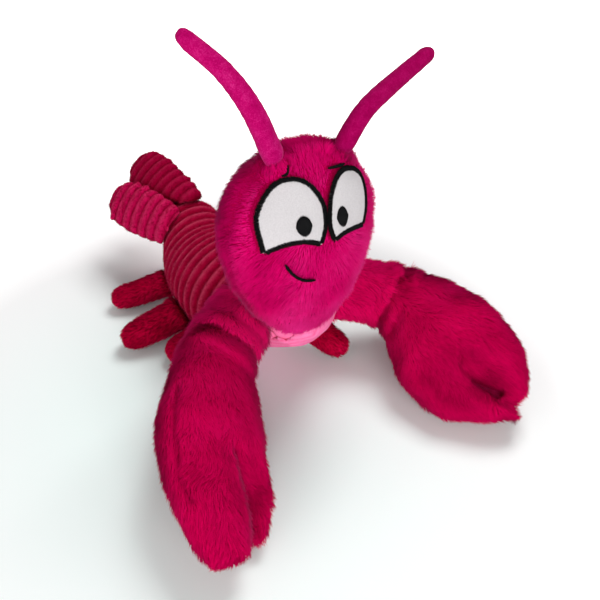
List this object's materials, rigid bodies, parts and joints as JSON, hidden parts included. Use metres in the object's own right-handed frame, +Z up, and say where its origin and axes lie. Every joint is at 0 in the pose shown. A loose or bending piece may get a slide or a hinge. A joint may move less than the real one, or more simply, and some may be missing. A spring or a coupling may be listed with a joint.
{
  "type": "plush lobster",
  "caption": "Soft stuffed toy lobster lying on its belly with its head raised, two big mitten claws held forward, antennae, ribbed body and padded tail.",
  "frame": {"origin": "centre of the toy's box in plan, at the height of the floor that it lies on", "axes": "+Z up, -Y the way the lobster faces, +X towards the lobster's own left claw"},
  "size_m": [0.277, 0.3888, 0.2838],
  "materials": {
    "fur": "long magenta pile",
    "leg_fur": "short crimson pile",
    "ribbed": "wide-wale ribbed plush",
    "belly": "light ribbed plush",
    "velour": "short velour",
    "felt": "brushed white felt",
    "thread": "satin-stitched thread"
  },
  "bodies": {
    "root": {"head": "fur", "upper_arm_right": "fur", "upper_arm_left": "fur", "claw_right": "fur", "claw_left": "fur", "leg_front_right": "leg_fur", "leg_front_left": "leg_fur", "leg_middle_right": "leg_fur", "leg_middle_left": "leg_fur", "leg_rear_right": "leg_fur", "leg_rear_left": "leg_fur", "body": "ribbed", "tail_lobe_right": "ribbed", "tail_lobe_left": "ribbed", "belly_panel": "belly", "antenna_right": "velour", "antenna_left": "velour", "eye_white_right": "felt", "eye_white_left": "felt", "eye_outline_right": "thread", "eye_outline_left": "thread", "pupil_right": "thread", "pupil_left": "thread", "brow_stitch_right": "thread", "brow_stitch_left": "thread", "mouth_stitch": "thread"}
  },
  "joints": []
}
